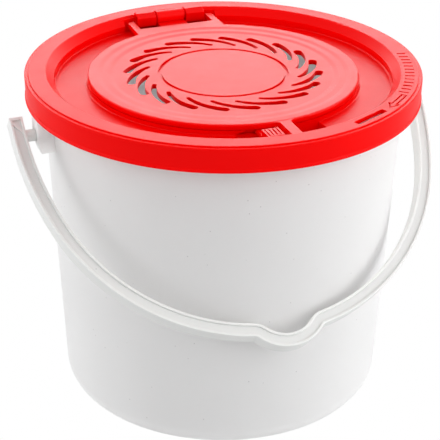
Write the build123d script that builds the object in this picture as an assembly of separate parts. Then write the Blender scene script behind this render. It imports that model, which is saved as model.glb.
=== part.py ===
from build123d import *
import math
import os

# Live-bait bucket with a vented flip-top lid, at its real size in millimetres.
# Frame: origin at the centre of the base, on the surface it stands on. +Z is up,
# the lid's hinge is at +Y, its latch at -Y, and the bail's pivots lie along X.

# --- bucket ---
TOP_Z = 219.5            # top of the lid's rim
WALL = 2.2               # moulded wall thickness
BASE_R = 104.9           # outer wall radius, carried down to z = 0
WALL_SLOPE = 0.0459      # growth of the wall radius per mm of height
BUCKET_TOP = 216.4       # top of the bucket's own rim
CORNER_R = 13.5          # rounding where the wall meets the base
BASE_THICK = 2.6
FOOT_LIFT = 1.4          # the base panel's height above the foot ring
FOOT_IN_R = 84.0
RIM_BEAD_R = 115.6       # outer radius of the bead round the bucket's mouth
RIM_BEAD_H = 5.0

# --- bail pivots ---
PIVOT_Z = 190.2
PIN_R = 3.8
PIVOT_GAP = 0.08         # radial running clearance
EAR_X = 124.3            # outer face of each ear
EAR_HALF = 6.5
EAR_LOW = 179.5
EAR_TOP = 201.8
EAR_CHAMFER_Z = 186.8
EAR_CHAMFER_X = 121.7
EAR_ROUND = 0.9
SOCKET_END_X = 114.4     # blind end of each pin socket

# --- bail ---
BAIL_TILT = 49.5         # how far the bail rests forward of hanging straight down
BAIL_SHIFT = -1.0        # its side play, taken up towards -X
BAIL_W = 8.4             # I-section, width in the plane of the bail
BAIL_D = 10.8            # I-section, depth
BAIL_WEB = 8.2           # thick, so that the channels are shallow
BAIL_FLANGE = 1.6
FLANGE_ROUND = 0.5
BOW_R = 129.3            # radius of the bow
BOW_LOW = 152.3          # lowest point of the bow's centre line, below the pivots
BOW_HALF = 70.0          # half angle of the bow
ARM_END = 11.0           # arm's length past the pivots
END_CAP = 1.8            # flange that closes the arm's end
RIB_W = 1.4              # brace across the channel, from the arm's end to the pin
RIB_INSET = 0.5          # how far the brace stays below the flanges
PIN_TIP_X = 116.0
DIP_DEPTH = 8.2          # the grip's drop below the bow
DIP_R = 25.0             # radius at the middle of the grip
DIP_SHOULDER_R = 8.0     # radius of the grip's two shoulders

# --- lid ring ---
LID_R = 125.4
SKIRT_LOW = 203.4
SKIRT_BEAD = 0.2         # the skirt is this much thicker along its lower edge
SKIRT_WALL = 2.4
LEDGE_R = 123.2          # the top face ends here, one small step inside the skirt
LEDGE_DROP = 0.9
LIP_R = 112.1            # inner edge of the top face
SLOPE_R = 107.0          # foot of the sloping wall below the lip
SLOPE_DROP = 5.0
FLOOR_DROP = 10.0        # depth of the recess
COLLAR_R = 86.3          # collar round the hatch
COLLAR_IN_R = 84.2
COLLAR_DROP = 7.1
RIM_UNDER = 0.4          # gap above the bucket's rim

# --- clip slot and the marks beside it, on the top face ---
CLIP_R = 117.3
CLIP_ANGLE = -63.4       # direction from the axis, counter-clockwise from +X
CLIP_L = 27.0
CLIP_W = 4.6
MARK_DEPTH = 1.3
ARROW_R = 118.2
ARROW_ANGLE = -49.1
ARROW_L = 23.5
ARROW_HEAD_L = 8.2
ARROW_HEAD_HALF = 4.2
ARROW_STEM_HALF = 2.0
ARROW_LINE = 1.1         # width of the arrow's outline
TICK_COUNT = 13
TICK_FIRST = -41.5
TICK_STEP = 2.7
TICK_L = 6.0
TICK_W = 1.6

# --- door ---
DOOR_R = 85.8
DOOR_DROP = 3.4          # door's top below the rim's top
DOOR_SKIRT_DROP = 6.8
DOOR_ROUND = 1.1         # rounding of the door's rim
DOOR_PLATE = 3.2
SPIGOT_R = 83.4
SPIGOT_DROP = 10.4
SPIGOT_WALL = 1.5
STEP_1_R = 80.0
STEP_2_R = 73.0
STEP_H = 0.45
STEP_RUN = 3.0           # each step is a gentle slope this wide
STEP_SOFT = 10.0         # rounding at the head and foot of each slope
GROOVE_R = 40.2
GROOVE_W = 2.4
GROOVE_H = 1.3
VENT_COUNT = 20
VENT_IN_R = 48.4
VENT_MID_R = 56.0
VENT_OUT_R = 60.6
VENT_SWEEP = 27.0        # angle from a vent's inner end to its outer end
VENT_IN_HALF = 1.5
VENT_MID_HALF = 2.2
VENT_OUT_HALF = 2.85
VENT_FIRST = -92.0       # direction of the first vent's outer end

# --- door hinge ---
HINGE_Y = 105.0
HINGE_DROP = 2.1
KNUCKLE_FRONT = 4.7      # front face of a knuckle, ahead of the hinge axis
KNUCKLE_TOP = 4.0        # its crest above the axis
KNUCKLE_EDGE = 1.7       # upper edge of its front face above the axis
KNUCKLE_LOW = 4.2        # its underside below the axis
KNUCKLE_IN = 10.9        # the ring's two knuckles run from here...
KNUCKLE_OUT = 24.0       # ...to here, on each side
BARREL_HALF = 9.7
BARREL_R = 4.2
AXLE_R = 2.5
AXLE_HALF = 23.2
AXLE_GAP = 0.08
NECK_DROP = 1.6          # neck's top below the door's top
TAB_BACK = 89.4
RAIL_IN = 25.9
RAIL_OUT = 30.4
RAIL_BACK = 104.5
HINGE_POCKET_HALF = 33.0
HINGE_POCKET_R = 110.0
HINGE_WALL_R = 111.9

# --- latch ---
TONGUE_X = (2.4, 9.0)
TONGUE_END = -106.0
TONGUE_LOW = 9.0
TONGUE_ROOT_R = 3.0      # rounding where the tongue leaves the door's rim
PAD_X = (-11.8, -1.4)
PAD_Y = (-103.4, -92.9)
PAD_DROP = 3.8
PAD_LOW = 9.6
PAD_SLOTS = 4
PAD_BORDER = 0.9
PAD_SLOT_W = 1.0
PAD_SLOT_H = 0.9
WELL_DEPTH = 12.0        # wells beside the latch, below the recess floor
WELL_OUTLINE = [(-15.0, -76.0), (-39.0, -96.5), (-39.0, -112.0), (35.0, -112.0), (29.5, -76.0)]
MOUTH_X = (-13.0, 12.0)  # the collar is cut away between these, below the tongue and pad
MOUTH_RAMP_X = -24.5     # the collar's end slopes down to the floor here

FLOOR_Z = TOP_Z - FLOOR_DROP
HINGE_Z = TOP_Z - HINGE_DROP
OUT = "parts"


def wall_r(z):
    """Outer radius of the bucket's wall at height z."""
    return BASE_R + WALL_SLOPE * z


def spun(points, rounds=()):
    """Solid of revolution from an outline of (radius, height), with some corners rounded."""
    with BuildSketch(Plane.XZ) as outline:
        with BuildLine():
            Polyline(*points, close=True)
        make_face()
        for (r, z), radius in rounds:
            corner = outline.vertices().sort_by_distance((r, z, 0))[0]    # in the sketch's own plane
            fillet(corner, radius)
    return revolve(outline.sketch, axis=Axis.Z, revolution_arc=360)


def ring(r_out, r_in, z_low, z_high):
    """Plain ring between two radii and two heights."""
    height = z_high - z_low
    tube = Cylinder(r_out, height) - Cylinder(r_in, height + 1)
    return Pos(0, 0, (z_low + z_high) / 2) * tube


def disc(r, z_low, z_high):
    return Pos(0, 0, (z_low + z_high) / 2) * Cylinder(r, z_high - z_low)


def block(x, y, z):
    """Box from three (low, high) pairs."""
    size = Box(x[1] - x[0], y[1] - y[0], z[1] - z[0])
    return Pos((x[0] + x[1]) / 2, (y[0] + y[1]) / 2, (z[0] + z[1]) / 2) * size


def rod_x(r, x_low, x_high, y, z):
    """Round bar along X."""
    bar = Rot(0, 90, 0) * Cylinder(r, x_high - x_low)
    return Pos((x_low + x_high) / 2, y, z) * bar


def prism(points, z_low, z_high):
    """Upright prism on an outline of (x, y)."""
    with BuildSketch() as outline:
        with BuildLine():
            Polyline(*points, close=True)
        make_face()
    return Pos(0, 0, z_low) * extrude(outline.sketch, z_high - z_low)


# ---------------------------------------------------------------- bucket
def bucket_shell():
    foot_r = wall_r(0)
    floor_z = FOOT_LIFT + BASE_THICK
    bead_low = BUCKET_TOP - RIM_BEAD_H
    top_in = wall_r(BUCKET_TOP) - WALL
    points = [
        (0, FOOT_LIFT), (FOOT_IN_R, FOOT_LIFT), (FOOT_IN_R + 1.6, 0), (foot_r, 0),
        (wall_r(bead_low), bead_low), (RIM_BEAD_R, bead_low + 0.8),
        (RIM_BEAD_R, BUCKET_TOP), (top_in, BUCKET_TOP),
        (wall_r(floor_z) - WALL, floor_z), (0, floor_z),
    ]
    rounds = [
        ((foot_r, 0), CORNER_R), ((wall_r(floor_z) - WALL, floor_z), CORNER_R - WALL),
        ((RIM_BEAD_R, BUCKET_TOP), 1.2), ((top_in, BUCKET_TOP), 1.8),
    ]
    return spun(points, rounds)


def ear(side):
    """Pivot boss under the rim, with its blind socket for the bail's pin."""
    inset = WALL * 0.6
    points = [
        (wall_r(EAR_LOW) - inset, EAR_LOW), (EAR_CHAMFER_X, EAR_LOW),
        (EAR_X - 0.4, EAR_CHAMFER_Z), (EAR_X, EAR_TOP), (wall_r(EAR_TOP) - inset, EAR_TOP),
    ]
    with BuildSketch(Plane.XZ) as outline:
        with BuildLine():
            Polyline(*[(side * x, z) for x, z in points], close=True)
        make_face()
    body = extrude(outline.sketch, EAR_HALF, both=True)
    outer = body.edges().filter_by(Axis.Y, reverse=True).filter_by(
        lambda edge: abs(edge.center().X) > EAR_CHAMFER_X - 0.2 and abs(edge.center().Y) > EAR_HALF - 0.1)
    body = fillet(outer, EAR_ROUND)
    low, high = sorted((side * SOCKET_END_X, side * (EAR_X + 1)))
    return body, rod_x(PIN_R + PIVOT_GAP, low, high, 0, PIVOT_Z)


def bucket_body():
    body = bucket_shell()
    for side in (-1, 1):
        boss, socket = ear(side)
        body = body + boss - socket
    return body


# ---------------------------------------------------------------- bail
def arc(centre, start, end):
    """Arc from start to end, the short way round its centre."""
    mid = Vector((start[0] + end[0]) / 2 - centre[0], (start[1] + end[1]) / 2 - centre[1])
    radius = math.hypot(start[0] - centre[0], start[1] - centre[1])
    mid = mid.normalized() * radius
    return ThreePointArc(start, (centre[0] + mid.X, centre[1] + mid.Y), end)


def bail_points():
    """Joints and centres of the bail's arcs, for the +X half, with y up from the pivots."""
    half = math.radians(BOW_HALF)
    side_r = BOW_R + (BOW_LOW - BOW_R) / math.cos(half)    # so that the arms are upright at the pivots
    bow_c = (0, BOW_R - BOW_LOW)
    knee = (BOW_R * math.sin(half), bow_c[1] - BOW_R * math.cos(half))
    side_c = (knee[0] - side_r * math.sin(half), 0)
    elbow = (side_c[0] + side_r, 0)
    grip_c = (0, DIP_R - BOW_LOW - DIP_DEPTH)
    reach_bow = BOW_R + DIP_SHOULDER_R
    reach_grip = DIP_R + DIP_SHOULDER_R
    fall = bow_c[1] - grip_c[1]
    sy = (bow_c[1] + grip_c[1] - (reach_bow ** 2 - reach_grip ** 2) / fall) / 2
    sx = math.sqrt(reach_grip ** 2 - (sy - grip_c[1]) ** 2)
    on_bow = (sx * BOW_R / reach_bow, bow_c[1] + (sy - bow_c[1]) * BOW_R / reach_bow)
    on_grip = (sx * DIP_R / reach_grip, grip_c[1] + (sy - grip_c[1]) * DIP_R / reach_grip)
    return elbow, side_c, knee, bow_c, on_bow, (sx, sy), on_grip, grip_c


def bail_path(x_flip):
    """Half of the centre line, from the arm's end to the middle of the grip."""
    elbow, side_c, knee, bow_c, on_bow, shoulder_c, on_grip, grip_c = bail_points()

    def at(point):
        return (x_flip * point[0], point[1])

    with BuildLine() as line:
        Line(at((elbow[0], ARM_END)), at(elbow))
        arc(at(side_c), at(elbow), at(knee))
        arc(at(bow_c), at(knee), at(on_bow))
        arc(at(shoulder_c), at(on_bow), at(on_grip))
        arc(at(grip_c), at(on_grip), (0, grip_c[1] - DIP_R))
    return line.wires()[0], elbow


def bail_section(x, y):
    """I-section at the arm's end: width along X, depth along Z of the bail's own plane."""
    with BuildSketch(Plane(origin=(x, y, 0), x_dir=(1, 0, 0), z_dir=(0, -1, 0))) as section:
        Rectangle(BAIL_W, BAIL_WEB)
        for edge in (-1, 1):
            with Locations((edge * (BAIL_W - BAIL_FLANGE) / 2, 0)):
                RectangleRounded(BAIL_FLANGE, BAIL_D, FLANGE_ROUND)
    return section.sketch


def arm_brace(flip, arm_x):
    """Slanting rib in the channel, from the outer corner of the arm's end to the pin."""
    inner, outer = arm_x - BAIL_W / 2 + 0.5, arm_x + BAIL_W / 2 - 0.5
    high, low = ARM_END - 0.5, -PIN_R / 2
    points = [(outer, high), (outer, high - RIB_W * 2), (inner, low), (inner, low + RIB_W * 2)]
    rib = prism([(flip * x, y) for x, y in points], 0, BAIL_D - 2 * RIB_INSET)
    return Pos(0, 0, RIB_INSET - BAIL_D / 2) * rib


def bail_handle():
    """One bent I-bar with a stub pin inside each arm, hanging forward at rest."""
    body = None
    for flip in (-1, 1):
        path, elbow = bail_path(flip)
        arm_x = elbow[0]
        half = sweep(bail_section(flip * arm_x, ARM_END), path=path)
        cap = Pos(flip * arm_x, ARM_END - END_CAP / 2, 0) * Box(BAIL_W, END_CAP, BAIL_D)
        low, high = sorted((flip * PIN_TIP_X, flip * (arm_x - BAIL_W / 2 + 1)))
        pin = rod_x(PIN_R, low, high, 0, 0)
        tip = pin.edges().filter_by(GeomType.CIRCLE).filter_by(
            lambda edge: abs(abs(edge.center().X) - PIN_TIP_X) < 0.1)
        piece = half + cap + arm_brace(flip, arm_x) + chamfer(tip, 0.8)
        body = piece if body is None else body + piece
    # the bail's plane (x across, y up, z forward) turned to hang down and lean forward
    return Pos(BAIL_SHIFT, 0, PIVOT_Z) * Rot(90 - BAIL_TILT, 0, 0) * body


# ---------------------------------------------------------------- lid ring
def ring_shell():
    skirt_in = LID_R - SKIRT_WALL
    bead_r = LID_R + SKIRT_BEAD
    under_z = BUCKET_TOP + RIM_UNDER
    floor_under = FLOOR_Z - WALL
    slope_z = TOP_Z - SLOPE_DROP
    ledge_z = TOP_Z - LEDGE_DROP
    points = [
        (skirt_in, SKIRT_LOW), (bead_r, SKIRT_LOW), (bead_r, SKIRT_LOW + 1.5),
        (LID_R - 0.3, SKIRT_LOW + 2.2), (LID_R, ledge_z), (LEDGE_R, ledge_z),
        (LEDGE_R, TOP_Z), (LIP_R, TOP_Z), (SLOPE_R, slope_z), (SLOPE_R + 0.3, FLOOR_Z),
        (COLLAR_R, FLOOR_Z), (COLLAR_R, TOP_Z - COLLAR_DROP),
        (COLLAR_IN_R, TOP_Z - COLLAR_DROP), (COLLAR_IN_R, floor_under),
        (SLOPE_R + WALL, floor_under), (SLOPE_R + WALL, slope_z - 0.9),
        (LIP_R + 0.9, under_z), (skirt_in, under_z),
    ]
    rounds = [
        ((bead_r, SKIRT_LOW), 0.6), ((bead_r, SKIRT_LOW + 1.5), 0.3),
        ((LID_R, ledge_z), 0.6), ((LEDGE_R, TOP_Z), 0.5), ((LIP_R, TOP_Z), 1.0),
        ((SLOPE_R + 0.3, FLOOR_Z), 1.0), ((COLLAR_R, FLOOR_Z), 0.6),
    ]
    return spun(points, rounds)


def hinge_pocket(body):
    """Clear the recess wall behind the hinge, close it with a thin wall, open the floor."""
    low = FLOOR_Z - WALL
    window = block((-HINGE_POCKET_HALF, HINGE_POCKET_HALF), (DOOR_R - 6, LID_R), (low, TOP_Z + 1))
    sector = window & ring(HINGE_POCKET_R, COLLAR_R + 0.8, FLOOR_Z, TOP_Z + 1)
    back = ring(HINGE_WALL_R, HINGE_POCKET_R, low, TOP_Z - 1.5) & block(
        (-HINGE_POCKET_HALF - WALL, HINGE_POCKET_HALF + WALL), (DOOR_R, LID_R), (low, TOP_Z))
    through = block((-KNUCKLE_OUT - 0.6, KNUCKLE_OUT + 0.6), (DOOR_R - 6, LID_R), (low - 1, FLOOR_Z + 6))
    through = through & disc(HINGE_POCKET_R, low - 1, FLOOR_Z + 6)
    return body + back - sector - through


def knuckle(side):
    """One hinge eye of the ring: a block with a sloping top, held out from the recess wall."""
    front = HINGE_Y - KNUCKLE_FRONT
    under = HINGE_Z - KNUCKLE_LOW
    crest = HINGE_Z + KNUCKLE_TOP
    with BuildSketch(Plane.YZ) as outline:
        with BuildLine():
            Polyline((front, under), (front, HINGE_Z + KNUCKLE_EDGE), (HINGE_Y - 0.4, crest),
                     (HINGE_Y + 3.4, crest), (HINGE_Y + 5.2, TOP_Z - 0.8), (LIP_R + 1.6, TOP_Z - 0.8),
                     (LIP_R + 1.6, under), close=True)
        make_face()
    middle = side * (KNUCKLE_IN + KNUCKLE_OUT) / 2
    body = Pos(middle, 0, 0) * extrude(outline.sketch, (KNUCKLE_OUT - KNUCKLE_IN) / 2, both=True)
    edges = body.edges().filter_by(lambda edge: edge.center().Y < HINGE_Y + 2 and edge.center().Z > HINGE_Z)
    body = fillet(edges, 0.5)
    keep = disc(HINGE_WALL_R, under - 1, TOP_Z - 1.2) + disc(LIP_R + 1.5, TOP_Z - 1.2, crest + 1)
    return body & keep


def wells(body):
    """Two finger wells beside the latch, closed below, cut through the collar."""
    low = FLOOR_Z - WELL_DEPTH
    outline = prism(WELL_OUTLINE, low, TOP_Z - SLOPE_DROP)
    cavity = outline & ring(SLOPE_R + 0.1, COLLAR_R, low, FLOOR_Z + 1)
    spread = [(x + math.copysign(WALL, x), y) for x, y in WELL_OUTLINE]
    shell = prism(spread, low - WALL, FLOOR_Z - 0.5) & ring(
        SLOPE_R + WALL, COLLAR_IN_R, low - WALL, FLOOR_Z - 0.5)
    return body + shell - cavity - collar_mouth()


def collar_mouth():
    """Gap in the collar for the tongue and pad, with one end sloping down to the floor."""
    collar_top = TOP_Z - COLLAR_DROP
    with BuildSketch(Plane.XZ) as outline:
        with BuildLine():
            Polyline((MOUTH_RAMP_X, FLOOR_Z + 0.2), (MOUTH_X[0], FLOOR_Z + 0.2), (MOUTH_X[0], FLOOR_Z),
                     (MOUTH_X[1], FLOOR_Z), (MOUTH_X[1], collar_top + 1), (MOUTH_X[0] - 5, collar_top + 1),
                     (MOUTH_X[0] - 5, collar_top), close=True)
        make_face()
    front = extrude(outline.sketch, COLLAR_R + 4)      # towards -Y
    return front & ring(COLLAR_R + 0.9, COLLAR_IN_R - 1, FLOOR_Z - 1, collar_top + 2)


def on_rim(angle, shape, r=CLIP_R):
    """Place a shape on the lid's top face, its X along the rim and its Y outwards."""
    turn = Rot(0, 0, angle - 90)
    return turn * Pos(0, r, TOP_Z) * shape


def arrow_mark():
    """Outlined arrow, sunk into the top face, pointing along the rim to the slot."""
    tip, tail = ARROW_L / 2, -ARROW_L / 2
    neck = tip - ARROW_HEAD_L
    points = [(tip, 0), (neck, ARROW_HEAD_HALF), (neck, ARROW_STEM_HALF), (tail, ARROW_STEM_HALF),
              (tail, -ARROW_STEM_HALF), (neck, -ARROW_STEM_HALF), (neck, -ARROW_HEAD_HALF)]
    with BuildSketch() as mark:
        with BuildLine():
            Polyline(*points, close=True)
        make_face()
        offset(mark.sketch, amount=-ARROW_LINE, kind=Kind.INTERSECTION, mode=Mode.SUBTRACT)
    return on_rim(ARROW_ANGLE, extrude(mark.sketch, MARK_DEPTH, both=True), ARROW_R)


def rim_marks(body):
    """Through slot for a clip, an arrow to it, and plain tick marks along the rim."""
    slot = Box(CLIP_L, CLIP_W, FLOOR_DROP)
    body = body - on_rim(CLIP_ANGLE, slot)
    body = body - arrow_mark()
    tick = Box(TICK_W, TICK_L, MARK_DEPTH * 2)
    for i in range(TICK_COUNT):
        body = body - on_rim(TICK_FIRST + i * TICK_STEP, tick)
    return body


def lid_ring():
    body = ring_shell()
    body = wells(body)
    body = hinge_pocket(body)
    for side in (-1, 1):
        body = body + knuckle(side)
    body = body - rod_x(AXLE_R + AXLE_GAP, -KNUCKLE_OUT - 1, KNUCKLE_OUT + 1, HINGE_Y, HINGE_Z)
    return rim_marks(body)


# ---------------------------------------------------------------- door
def door_plate():
    """Stepped disc with a short skirt and a spigot that sits inside the ring's collar."""
    top = TOP_Z - DOOR_DROP
    skirt_low = TOP_Z - DOOR_SKIRT_DROP
    spigot_low = TOP_Z - SPIGOT_DROP
    step_1 = top - STEP_H
    step_2 = top - 2 * STEP_H
    under = step_2 - DOOR_PLATE
    spigot_in = SPIGOT_R - SPIGOT_WALL
    points = [
        (0, step_2), (STEP_2_R - STEP_RUN, step_2), (STEP_2_R, step_1), (STEP_1_R - STEP_RUN, step_1),
        (STEP_1_R, top), (DOOR_R, top), (DOOR_R, skirt_low), (SPIGOT_R, skirt_low),
        (SPIGOT_R, spigot_low), (spigot_in, spigot_low), (spigot_in, under), (0, under),
    ]
    rounds = [
        ((DOOR_R, top), DOOR_ROUND),
        ((STEP_1_R, top), STEP_SOFT), ((STEP_1_R - STEP_RUN, step_1), STEP_SOFT),
        ((STEP_2_R, step_1), STEP_SOFT), ((STEP_2_R - STEP_RUN, step_2), STEP_SOFT),
    ]
    plate = spun(points, rounds)
    groove = ring(GROOVE_R + GROOVE_W / 2, GROOVE_R - GROOVE_W / 2, step_2 - GROOVE_H, step_2 + 1)
    return plate - groove


def polar(r, degrees):
    return (r * math.cos(math.radians(degrees)), r * math.sin(math.radians(degrees)))


def vent(outer_angle):
    """One curved slot that widens outwards; its outer end lies counter-clockwise."""
    angles = (outer_angle - VENT_SWEEP, outer_angle - VENT_SWEEP * 0.46, outer_angle)
    radii = (VENT_IN_R, VENT_MID_R, VENT_OUT_R)
    halves = (VENT_IN_HALF, VENT_MID_HALF, VENT_OUT_HALF)
    mid = [Vector(*polar(r, a)) for r, a in zip(radii, angles)]
    ways = [(mid[1] - mid[0]).normalized(), (mid[2] - mid[0]).normalized(), (mid[2] - mid[1]).normalized()]
    sides = [Vector(-w.Y, w.X) * h for w, h in zip(ways, halves)]
    with BuildSketch() as slot:
        with BuildLine():
            ThreePointArc(mid[0] + sides[0], mid[1] + sides[1], mid[2] + sides[2])
            ThreePointArc(mid[2] + sides[2], mid[2] + ways[2] * VENT_OUT_HALF, mid[2] - sides[2])
            ThreePointArc(mid[2] - sides[2], mid[1] - sides[1], mid[0] - sides[0])
            ThreePointArc(mid[0] - sides[0], mid[0] - ways[0] * VENT_IN_HALF, mid[0] + sides[0])
        make_face()
    low = TOP_Z - DOOR_DROP - 2 * STEP_H - DOOR_PLATE
    return Pos(0, 0, low - 1) * extrude(slot.sketch, DOOR_PLATE + 4)


def door_tab():
    """Back edge of the door with its two side rails and the hinge barrel."""
    top = TOP_Z - DOOR_DROP
    low = TOP_Z - DOOR_SKIRT_DROP
    apron = block((-RAIL_OUT, RAIL_OUT), (74.0, TAB_BACK), (low, top))
    apron = apron - disc(SPIGOT_R - SPIGOT_WALL, low - 1, top - 2 * STEP_H - DOOR_PLATE)
    apron = apron - disc(STEP_1_R, top - 2 * STEP_H, top + 1)
    barrel = rod_x(BARREL_R, -BARREL_HALF, BARREL_HALF, HINGE_Y, HINGE_Z)
    axle = rod_x(AXLE_R, -AXLE_HALF, AXLE_HALF, HINGE_Y, HINGE_Z)
    neck = block((-BARREL_HALF, BARREL_HALF), (TAB_BACK - 1, HINGE_Y - 2.5), (low, top - NECK_DROP))
    body = apron + barrel + neck + axle
    for side in (-1, 1):
        across = sorted((side * RAIL_IN, side * RAIL_OUT))
        body = body + block(across, (TAB_BACK - 1, RAIL_BACK), (low, top))
    return body


def door_latch():
    """Front tongue at the door's level and the ribbed thumb pad beside it."""
    top = TOP_Z - DOOR_DROP
    low = TOP_Z - TONGUE_LOW
    tongue = block(TONGUE_X, (TONGUE_END, -82.0), (low, top - 0.2))
    for side, edge in ((-1, TONGUE_X[0]), (1, TONGUE_X[1])):
        root = -math.sqrt(DOOR_R ** 2 - edge ** 2) - TONGUE_ROOT_R
        across = sorted((edge, edge + side * TONGUE_ROOT_R))
        corner = block(across, (root, -82.0), (low, top - 0.2))
        hollow = Pos(edge + side * TONGUE_ROOT_R, root, 0) * disc(TONGUE_ROOT_R, low - 1, top)
        tongue = tongue + (corner - hollow)
    pad_top = TOP_Z - PAD_DROP
    pad = block(PAD_X, PAD_Y, (TOP_Z - PAD_LOW, pad_top))
    shelf = block(PAD_X, (PAD_Y[0], -82.0), (TOP_Z - PAD_LOW, TOP_Z - PAD_LOW + 2.2))
    pitch = (PAD_X[1] - PAD_X[0] - PAD_BORDER) / PAD_SLOTS
    for i in range(PAD_SLOTS):
        x = PAD_X[0] + PAD_BORDER / 2 + (i + 0.5) * pitch
        along = (PAD_Y[0] + PAD_BORDER, PAD_Y[1] - PAD_BORDER)
        pad = pad - block((x - PAD_SLOT_W / 2, x + PAD_SLOT_W / 2), along, (pad_top - PAD_SLOT_H, TOP_Z))
    return tongue + pad + shelf


def vent_door():
    body = door_plate() + door_tab() + door_latch()
    for i in range(VENT_COUNT):
        body = body - vent(VENT_FIRST + i * 360 / VENT_COUNT)
    return body


PARTS = {
    "bucket_body": bucket_body,
    "bail_handle": bail_handle,
    "lid_ring": lid_ring,
    "vent_door": vent_door,
}

os.makedirs(OUT, exist_ok=True)
for name, make in PARTS.items():
    export_step(make(), f"{OUT}/{name}.step")
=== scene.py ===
import math

import bpy
from mathutils import Matrix, Vector


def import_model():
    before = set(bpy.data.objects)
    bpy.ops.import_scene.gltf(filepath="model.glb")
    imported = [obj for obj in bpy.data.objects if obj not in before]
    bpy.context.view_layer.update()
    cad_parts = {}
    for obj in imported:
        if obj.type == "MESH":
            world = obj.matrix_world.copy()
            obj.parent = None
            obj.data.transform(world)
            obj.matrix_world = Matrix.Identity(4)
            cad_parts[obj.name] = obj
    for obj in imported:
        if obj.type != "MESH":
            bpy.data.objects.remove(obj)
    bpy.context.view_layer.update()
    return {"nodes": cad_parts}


# Live-bait bucket with a vented flip-top lid: looks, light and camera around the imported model.
# Units are metres. The lid's hinge is at +Y and its latch at -Y.

# --- camera ---
CAMERA_AT = Vector((-0.3252, -0.8424, 0.5752))
CAMERA_TARGET = Vector((-0.0011, 0.0006, 0.1094))
CAMERA_LENS = 124.87
CAMERA_ROLL = math.radians(0.5724)

# --- light ---
WORLD_SEEN = 1.0
WORLD_LIGHT = 1.04
FLOOR_SEEN = 1.0
FLOOR_BOUNCE = 0.7       # how bright the floor is to everything but the camera
FLOOR_HALF = 30.0
FLOOR_DROP = 0.0005      # the floor lies this far under the bucket's foot
VIEW_AZIMUTH = math.radians(21)

# --- surfaces ---
PLASTIC_IOR = 1.5
RED = (0.92, 0.0, 0.0)
RED_TINTS = (0.93, 1.04)
LID_SPECULAR = 0.07
LID_GLOW = 0.3           # how much of the red plastic's light travels through it
DOOR_SPECULAR = 0.11
DOOR_GLOW = 0.5
RED_DEPTH = 0.006
RED_SPREAD = (1.0, 0.02, 0.02)
RED_ROUGH = (0.26, 0.42)
WALL_WHITE = (0.985, 0.98, 0.968)
WALL_DEPTH = 0.007       # the pail's thin wall lets light in
WALL_SPECULAR = 0.3
BAIL_WHITE = (0.77, 0.775, 0.765)
BAIL_DEPTH = 0.0012
BAIL_SPECULAR = 0.18
WHITE_TINTS = (0.975, 1.02)
WHITE_SPREAD = (1.0, 1.0, 1.0)
WHITE_ROUGH = (0.36, 0.52)
SPECK_TONE = 0.72        # how dark the dirt specks are, against the plastic
SPECK_SCALE = 120.0
SPECK_EDGE = (0.03, 0.06)


def node_tree(name):
    """New material with an empty tree: (material, add node, link, output node)."""
    material = bpy.data.materials.new(name)
    material.use_nodes = True
    tree = material.node_tree
    tree.nodes.clear()

    def add(kind, **values):
        node = tree.nodes.new(kind)
        for key, value in values.items():
            if key in node.inputs:
                node.inputs[key].default_value = value
            else:
                setattr(node, key, value)
        return node

    return material, add, tree.links.new, add("ShaderNodeOutputMaterial")


def plastic_shader(add, specular, glow, spread, depth):
    shader = add("ShaderNodeBsdfPrincipled")
    shader.inputs["IOR"].default_value = PLASTIC_IOR
    shader.inputs["Specular IOR Level"].default_value = specular
    shader.inputs["Subsurface Weight"].default_value = glow
    shader.inputs["Subsurface Radius"].default_value = spread
    shader.inputs["Subsurface Scale"].default_value = depth
    return shader


def noise(add, link, place, scale, detail, roughness):
    made = add("ShaderNodeTexNoise", Scale=scale, Detail=detail, Roughness=roughness)
    link(place.outputs["Object"], made.inputs["Vector"])
    return made.outputs["Fac"]


def surface(add, link, shader, out, wear, rough, grain, strength, height):
    """Roughness that follows the wear, a moulded grain, and the material's output."""
    spread = add("ShaderNodeMapRange")
    spread.inputs["To Min"].default_value, spread.inputs["To Max"].default_value = rough
    link(wear, spread.inputs["Value"])
    link(spread.outputs["Result"], shader.inputs["Roughness"])
    bump = add("ShaderNodeBump", Strength=strength, Distance=height)
    link(grain, bump.inputs["Height"])
    link(bump.outputs["Normal"], shader.inputs["Normal"])
    link(shader.outputs["BSDF"], out.inputs["Surface"])


def red_plastic(name, specular, glow):
    """Semi-gloss moulded red polyethylene: faint flow marks, fine grain, soft scuffs."""
    material, add, link, out = node_tree(name)
    place = add("ShaderNodeTexCoord")
    shader = plastic_shader(add, specular, glow, RED_SPREAD, RED_DEPTH)
    flow = noise(add, link, place, scale=18.0, detail=3.0, roughness=0.5)
    tint = add("ShaderNodeValToRGB")
    for stop, factor in zip(tint.color_ramp.elements, RED_TINTS):
        stop.color = (*[c * factor for c in RED], 1)
    link(flow, tint.inputs["Fac"])
    link(tint.outputs["Color"], shader.inputs["Base Color"])
    scuff = noise(add, link, place, scale=90.0, detail=6.0, roughness=0.6)
    grain = noise(add, link, place, scale=1400.0, detail=2.0, roughness=0.5)
    surface(add, link, shader, out, scuff, RED_ROUGH, grain, strength=0.12, height=0.0002)
    return material


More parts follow.
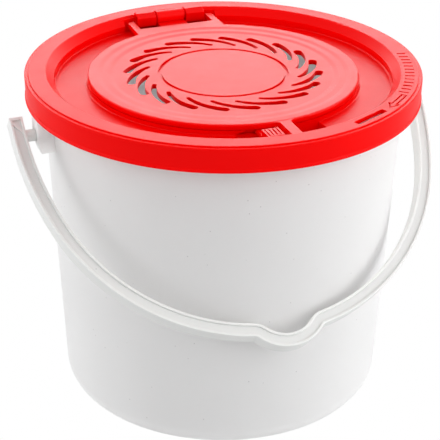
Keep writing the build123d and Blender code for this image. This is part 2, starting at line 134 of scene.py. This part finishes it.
def white_plastic(name, white, depth, specular):
    """Cloudy natural polyethylene: satin, slightly translucent, with tiny dark specks."""
    material, add, link, out = node_tree(name)
    place = add("ShaderNodeTexCoord")
    shader = plastic_shader(add, specular, 1.0, WHITE_SPREAD, depth)
    cloud = noise(add, link, place, scale=9.0, detail=4.0, roughness=0.55)
    tint = add("ShaderNodeValToRGB")
    tint.color_ramp.elements[0].position = 0.3
    tint.color_ramp.elements[1].position = 0.7
    for stop, factor in zip(tint.color_ramp.elements, WHITE_TINTS):
        stop.color = (*[min(c * factor, 1) for c in white], 1)
    link(cloud, tint.inputs["Fac"])
    speck = add("ShaderNodeTexVoronoi", Scale=SPECK_SCALE)
    link(place.outputs["Object"], speck.inputs["Vector"])
    dot = add("ShaderNodeValToRGB")
    for stop, position, tone in zip(dot.color_ramp.elements, SPECK_EDGE, (SPECK_TONE, 1)):
        stop.position = position
        stop.color = (tone, tone, tone, 1)
    link(speck.outputs["Distance"], dot.inputs["Fac"])
    mix = add("ShaderNodeMix", data_type="RGBA", blend_type="MULTIPLY")
    mix.inputs["Factor"].default_value = 1.0
    link(tint.outputs["Color"], mix.inputs[6])
    link(dot.outputs["Color"], mix.inputs[7])
    link(mix.outputs[2], shader.inputs["Base Color"])
    grain = noise(add, link, place, scale=520.0, detail=3.0, roughness=0.6)
    surface(add, link, shader, out, cloud, WHITE_ROUGH, grain, strength=0.10, height=0.0003)
    return material


def dress(node, material):
    data = frame["nodes"][node].data
    data.materials.clear()
    data.materials.append(material)


def floor():
    """Plain pale floor, as bright to the camera as the backdrop."""
    mesh = bpy.data.meshes.new("floor")
    h = FLOOR_HALF
    mesh.from_pydata([(-h, -h, 0), (h, -h, 0), (h, h, 0), (-h, h, 0)], [], [(0, 1, 2, 3)])
    plane = bpy.data.objects.new("floor", mesh)
    bpy.context.scene.collection.objects.link(plane)
    plane.location.z = -FLOOR_DROP
    material, add, link, out = node_tree("floor_pale")
    seen = add("ShaderNodeEmission", Color=(1, 1, 1, 1), Strength=FLOOR_SEEN)
    bounce = add("ShaderNodeEmission", Color=(1, 1, 1, 1), Strength=FLOOR_BOUNCE)
    path = add("ShaderNodeLightPath")
    pick = add("ShaderNodeMixShader")
    link(path.outputs["Is Camera Ray"], pick.inputs["Fac"])
    link(bounce.outputs[0], pick.inputs[1])
    link(seen.outputs[0], pick.inputs[2])
    link(pick.outputs[0], out.inputs["Surface"])
    mesh.materials.append(material)


def world():
    """White backdrop; what lights the object is a little brighter than what is seen."""
    made = bpy.data.worlds.new("studio")
    bpy.context.scene.world = made
    made.use_nodes = True
    tree = made.node_tree
    tree.nodes.clear()
    out = tree.nodes.new("ShaderNodeOutputWorld")
    seen = tree.nodes.new("ShaderNodeBackground")
    seen.inputs["Strength"].default_value = WORLD_SEEN
    lit = tree.nodes.new("ShaderNodeBackground")
    lit.inputs["Strength"].default_value = WORLD_LIGHT
    path = tree.nodes.new("ShaderNodeLightPath")
    pick = tree.nodes.new("ShaderNodeMixShader")
    tree.links.new(path.outputs["Is Camera Ray"], pick.inputs["Fac"])
    tree.links.new(lit.outputs[0], pick.inputs[1])
    tree.links.new(seen.outputs[0], pick.inputs[2])
    tree.links.new(pick.outputs[0], out.inputs["Surface"])


def softbox(name, behind, right, up, aim, width, height, power):
    """Soft light placed in metres behind, to the right of and above the object's foot."""
    back = Vector((math.sin(VIEW_AZIMUTH), math.cos(VIEW_AZIMUTH), 0))
    side = Vector((back.y, -back.x, 0))
    at = back * behind + side * right + Vector((0, 0, up))
    light = bpy.data.lights.new(name, "AREA")
    light.shape = "RECTANGLE"
    light.size = width
    light.size_y = height
    light.energy = power
    lamp = bpy.data.objects.new(name, light)
    bpy.context.scene.collection.objects.link(lamp)
    lamp.location = at
    lamp.rotation_euler = (Vector((0, 0, aim)) - at).to_track_quat("-Z", "Y").to_euler()
    lamp.visible_camera = False
    return lamp


def camera():
    data = bpy.data.cameras.new("camera")
    data.lens = CAMERA_LENS
    data.sensor_width = 36.0
    data.clip_start, data.clip_end = 0.05, 50.0
    made = bpy.data.objects.new("camera", data)
    bpy.context.scene.collection.objects.link(made)
    look = (CAMERA_TARGET - CAMERA_AT).to_track_quat("-Z", "Y")
    made.rotation_mode = "QUATERNION"
    made.rotation_quaternion = look @ Matrix.Rotation(CAMERA_ROLL, 4, "Z").to_quaternion()
    made.location = CAMERA_AT
    bpy.context.scene.camera = made


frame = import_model()

dress("bucket_body", white_plastic("bucket_white", WALL_WHITE, WALL_DEPTH, WALL_SPECULAR))
dress("bail_handle", white_plastic("bail_white", BAIL_WHITE, BAIL_DEPTH, BAIL_SPECULAR))
dress("lid_ring", red_plastic("lid_red", LID_SPECULAR, LID_GLOW))
dress("vent_door", red_plastic("door_red", DOOR_SPECULAR, DOOR_GLOW))

floor()
world()
sheen = softbox("back_panel", 1.6, 0, 1.05, aim=0.2, width=2.2, height=1.2, power=34)
sheen.visible_diffuse = False      # only its reflection in the lid is wanted
softbox("right_key", -0.6, 1.7, 0.7, aim=0.1, width=1.0, height=1.4, power=15)
softbox("left_kicker", -0.35, -1.7, 0.6, aim=0.1, width=0.5, height=1.4, power=7)
softbox("left_rim", 0.8, -1.6, 0.45, aim=0.15, width=0.8, height=1.2, power=7)
softbox("right_rim", 0.7, 1.6, 0.45, aim=0.15, width=0.8, height=1.2, power=7)
camera()
bpy.context.scene.view_settings.view_transform = "Standard"
